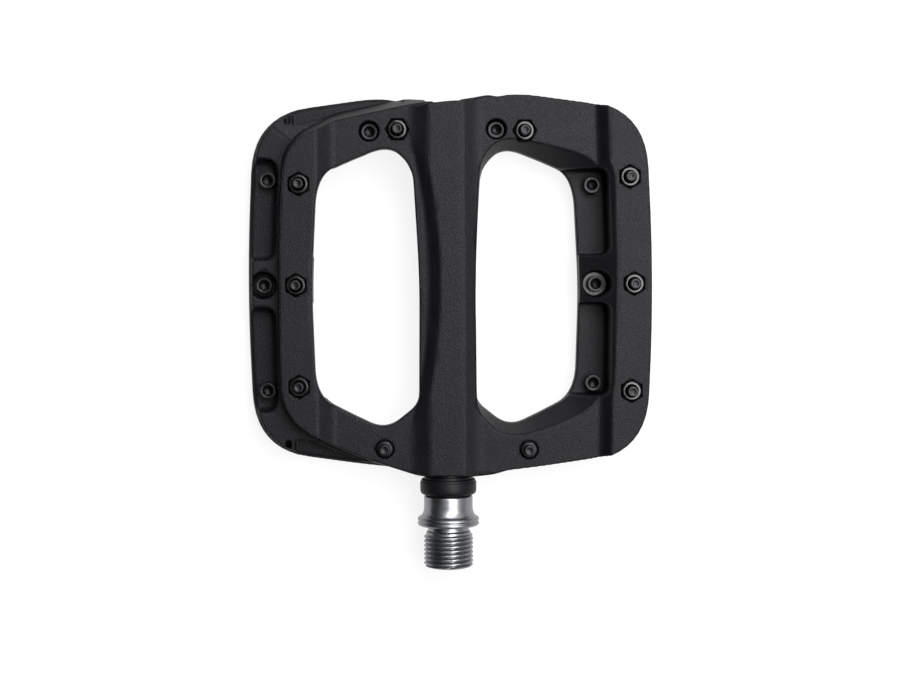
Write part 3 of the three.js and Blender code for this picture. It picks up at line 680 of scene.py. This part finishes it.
class Look:
    """A node material, built step by step."""

    def __init__(self, name):
        self.material = bpy.data.materials.new(name)
        self.material.use_nodes = True
        self.tree = self.material.node_tree
        self.shader = self.tree.nodes["Principled BSDF"]
        self.where = self.tree.nodes.new("ShaderNodeTexCoord").outputs["Object"]

    def link(self, source, target):
        self.tree.links.new(source, target)

    def set(self, **values):
        for name, value in values.items():
            self.shader.inputs[name.replace("_", " ")].default_value = value

    def noise(self, size_mm, detail=3.0, stretch=(1, 1, 1)):
        """Noise with grains of about this size; stretch lengthens them along an axis."""
        scale = self.tree.nodes.new("ShaderNodeMapping")
        scale.inputs["Scale"].default_value = tuple(1 / (size_mm * MM * s) for s in stretch)
        self.link(self.where, scale.inputs["Vector"])
        node = self.tree.nodes.new("ShaderNodeTexNoise")
        node.inputs["Scale"].default_value = 1.0
        node.inputs["Detail"].default_value = detail
        self.link(scale.outputs["Vector"], node.inputs["Vector"])
        return node.outputs["Fac"]

    def math(self, kind, *values):
        node = self.tree.nodes.new("ShaderNodeMath")
        node.operation = kind
        for socket, value in zip(node.inputs, values):
            if isinstance(value, (int, float)):
                socket.default_value = value
            else:
                self.link(value, socket)
        return node.outputs["Value"]

    def spread(self, value, low, high):
        """Spreads the middle of a noise over low to high."""
        node = self.tree.nodes.new("ShaderNodeMapRange")
        for name, number in (("From Min", 0.3), ("From Max", 0.7), ("To Min", low), ("To Max", high)):
            node.inputs[name].default_value = number
        self.link(value, node.inputs["Value"])
        return node.outputs["Result"]

    def colours(self, value, *stops):
        """A colour for each value, from stops of (value, colour)."""
        node = self.tree.nodes.new("ShaderNodeValToRGB")
        elements = node.color_ramp.elements
        while len(elements) < len(stops):
            elements.new(0.5)
        for element, (at, colour) in zip(elements, stops):
            element.position = at
            element.color = (*colour, 1)
        self.link(value, node.inputs["Fac"])
        return node.outputs["Color"]

    def mixed(self, share, first, second):
        """A blend of two colours; each may be a node's output or a fixed colour."""
        node = self.tree.nodes.new("ShaderNodeMix")
        node.data_type = "RGBA"
        sockets = [socket for socket in node.inputs if socket.enabled]
        self.link(share, sockets[0])
        for socket, colour in zip(sockets[1:], (first, second)):
            if isinstance(colour, tuple):
                socket.default_value = (*colour, 1)
            else:
                self.link(colour, socket)
        return [socket for socket in node.outputs if socket.enabled][0]

    def bump(self, value, depth_mm, strength):
        node = self.tree.nodes.new("ShaderNodeBump")
        node.inputs["Distance"].default_value = depth_mm * MM
        node.inputs["Strength"].default_value = strength
        self.link(value, node.inputs["Height"])
        self.link(node.outputs["Normal"], self.shader.inputs["Normal"])

    def facing_up(self):
        """How far the surface faces along Z, either way, from 0 to 1."""
        geometry = self.tree.nodes.new("ShaderNodeNewGeometry")
        split = self.tree.nodes.new("ShaderNodeSeparateXYZ")
        self.link(geometry.outputs["True Normal"], split.inputs["Vector"])
        return self.math("ABSOLUTE", split.outputs["Z"])


def grained(name, colour, roughness, grain_mm, depth_mm):
    """Moulded plastic or rubber: a fine sparked grain and slow, faint patches."""
    look = Look(name)
    grain = look.noise(grain_mm)
    patches = look.noise(9.0)
    blend = look.math("ADD", look.math("MULTIPLY", patches, 0.3), look.math("MULTIPLY", grain, 0.7))
    dark, light = (tuple(c * share for c in colour) for share in (0.8, 1.2))
    look.link(look.colours(blend, (0.3, dark), (0.7, light)), look.shader.inputs["Base Color"])
    look.link(look.spread(blend, roughness - 0.07, roughness + 0.07), look.shader.inputs["Roughness"])
    look.link(look.spread(look.noise(0.9 * grain_mm), 0.09, 0.18), look.shader.inputs["Specular IOR Level"])
    look.bump(grain, depth_mm, 0.8)
    return look.material


def coated(name, colour, roughness, bare_from=None):
    """Black coated steel. Faces that face up or down by more than bare_from are rubbed half bare."""
    look = Look(name)
    grain = look.noise(0.18)
    wear = look.noise(1.4)
    dark, light = (tuple(c * share for c in colour) for share in (0.75, 1.25))
    coat = look.colours(grain, (0.3, dark), (0.7, light))
    if bare_from is not None:
        flat = look.math("GREATER_THAN", look.facing_up(), bare_from)
        worn = look.math("MULTIPLY", flat, look.spread(wear, 0.7, 1.0))
        coat = look.mixed(worn, coat, (0.031, 0.031, 0.031))
    look.link(coat, look.shader.inputs["Base Color"])
    look.link(look.spread(wear, roughness - 0.06, roughness + 0.1), look.shader.inputs["Roughness"])
    look.set(Metallic=0.85)
    look.bump(grain, 0.01, 0.5)
    return look.material


def turned_steel(name, colour, roughness, marks_mm, stretch):
    """Bare steel with fine turning marks: noise stretched along them."""
    look = Look(name)
    marks = look.noise(marks_mm, 4.0, stretch)
    cloud = look.noise(2.5)
    dark = tuple(c * 0.85 for c in colour)
    look.link(look.colours(marks, (0.3, dark), (0.7, colour)), look.shader.inputs["Base Color"])
    both = look.math("MULTIPLY", look.math("ADD", marks, cloud), 0.5)
    look.link(look.spread(both, roughness - 0.06, roughness + 0.08), look.shader.inputs["Roughness"])
    look.set(Metallic=1.0)
    look.bump(marks, 0.003, 0.4)
    return look.material


def make_looks():
    return {
        "nylon": grained("nylon_grained", (0.0044, 0.0042, 0.0058), 0.5, 0.42, 0.15),
        "rubber": grained("rubber_smooth", (0.004, 0.004, 0.005), 0.44, 0.15, 0.006),
        "bush": grained("polymer_bush", (0.32, 0.29, 0.13), 0.5, 0.2, 0.004),
        "pin": coated("pin_black", (0.0125, 0.0125, 0.014), 0.33),
        "nut": coated("nut_rubbed", (0.011, 0.011, 0.0125), 0.15, 0.985),
        "steel": turned_steel("steel_turned", (0.25, 0.257, 0.268), 0.34, 0.1, (40, 1, 40)),
        "bare": turned_steel("steel_bare", (0.045, 0.045, 0.045), 0.3, 0.1, (1, 1, 1)),
        "bearing": turned_steel("steel_ground", (0.8, 0.81, 0.83), 0.16, 0.06, (40, 1, 40)),
    }


# CAD nodes that keep their shape: hidden inside the tube, or seen only as the bearing and bush.
KEPT_NODES = {
    "rubber": ["inner_seal", "end_cap_ring"],
    "bush": ["inboard_bush", "bearing_cage"],
    "pin": ["lock_nut"],
    "steel": ["lock_washer"],
    "bearing": ["bearing_inner_race", "bearing_outer_race"] + [f"bearing_ball_{i}" for i in range(1, 9)],
}


def finish_kept_nodes(looks):
    for look, nodes in KEPT_NODES.items():
        for node in nodes:
            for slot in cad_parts[node].material_slots:
                slot.material = looks[look]


# ---- camera, floor and light ----

# The camera looks down on the top side, almost square to it.
VIEW_TURN = {"Y": 1.012, "X": 1.979, "Z": 0.299}     # degrees, in this order
CAMERA_PLACE = Vector((0.804, -15.273, 452.5))       # mm, in the turned view, from the row of middle pins
LENS = 62.66


def make_camera():
    turn = Matrix.Identity(3)
    for axis, degrees in VIEW_TURN.items():
        turn = Matrix.Rotation(math.radians(degrees), 3, axis) @ turn
    back = turn.transposed()
    place = (back @ CAMERA_PLACE + Vector((0, ROW_Y, 0))) * MM
    data = bpy.data.cameras.new("camera")
    data.lens = LENS
    data.sensor_width = 36.0
    data.clip_start = 0.01
    camera = bpy.data.objects.new("camera", data)
    bpy.context.collection.objects.link(camera)
    camera.matrix_world = Matrix.Translation(place) @ back.to_4x4()
    bpy.context.scene.camera = camera


def make_floor(half=3.0, below=0.0002):
    """A pale floor that also glows a little, like a light table, so that shadows on it stay faint.

    It reaches `half` metres each way and lies `below` metres under the pedal.
    """
    z = CAD_BOX[0][2] - below
    mesh = bpy.data.meshes.new("floor")
    corners = [(-half, -half, z), (half, -half, z), (half, half, z), (-half, half, z)]
    mesh.from_pydata(corners, [], [(0, 1, 2, 3)])
    look = Look("floor_pale")
    pale = look.colours(look.noise(120.0), (0.3, (0.11, 0.11, 0.11)), (0.7, (0.12, 0.12, 0.12)))
    look.link(pale, look.shader.inputs["Base Color"])
    look.set(Roughness=0.9, Specular_IOR_Level=0.0, Emission_Color=(1, 1, 1, 1), Emission_Strength=0.86)
    mesh.materials.append(look.material)
    floor = bpy.data.objects.new("floor", mesh)
    bpy.context.collection.objects.link(floor)


def make_flag():
    """A dark curved screen round the left and crank sides, out of view, for the faces turned that way."""
    reach, high = 0.36, 0.55
    low = CAD_BOX[0][2]
    turns = np.radians(np.linspace(115, 300, 24))
    points = []
    for turn in turns:
        for z in (low, high):
            points.append((reach * math.cos(turn), reach * math.sin(turn), z))
    faces = [(2 * i, 2 * i + 2, 2 * i + 3, 2 * i + 1) for i in range(len(turns) - 1)]
    mesh = bpy.data.meshes.new("flag")
    mesh.from_pydata(points, [], faces)
    look = Look("flag_cloth")
    weave = look.noise(1.0)
    look.link(look.colours(weave, (0.3, (0.008, 0.008, 0.008)), (0.7, (0.014, 0.014, 0.014))),
              look.shader.inputs["Base Color"])
    look.set(Roughness=1.0, Specular_IOR_Level=0.0)
    mesh.materials.append(look.material)
    flag = bpy.data.objects.new("flag", mesh)
    bpy.context.collection.objects.link(flag)
    flag.visible_camera = False


def area_light(name, place, turn, size, radiance):
    """A soft rectangular light; it faces straight down before it is turned by degrees about X, Y and Z."""
    data = bpy.data.lights.new(name, "AREA")
    data.shape = "RECTANGLE"
    data.size, data.size_y = size
    data.energy = radiance * math.pi * size[0] * size[1]
    light = bpy.data.objects.new(name, data)
    bpy.context.collection.objects.link(light)
    light.location = place
    light.visible_camera = False
    light.rotation_euler = [math.radians(angle) for angle in turn]


def make_light():
    world = bpy.data.worlds.new("studio")
    world.use_nodes = True
    background = world.node_tree.nodes["Background"]
    background.inputs["Color"].default_value = (1, 1, 1, 1)
    background.inputs["Strength"].default_value = 0.4
    bpy.context.scene.world = world
    area_light("softbox", (0.26, 0.3, 0.8), (0, 0, 20), (0.56, 1.1), 10.3)
    area_light("kicker", (0.35, 0.75, 0.3), (-66, 0, -25), (0.7, 0.35), 2.0)
    view = bpy.context.scene.view_settings
    view.view_transform = "Standard"
    view.look = "None"


def main():
    make_camera()
    make_light()
    make_floor()
    make_flag()
    looks = make_looks()
    make_platform(looks["nylon"])
    make_fasteners(looks)
    make_spindle(looks)
    make_collar(looks)
    make_end_cap(looks)
    finish_kept_nodes(looks)


main()
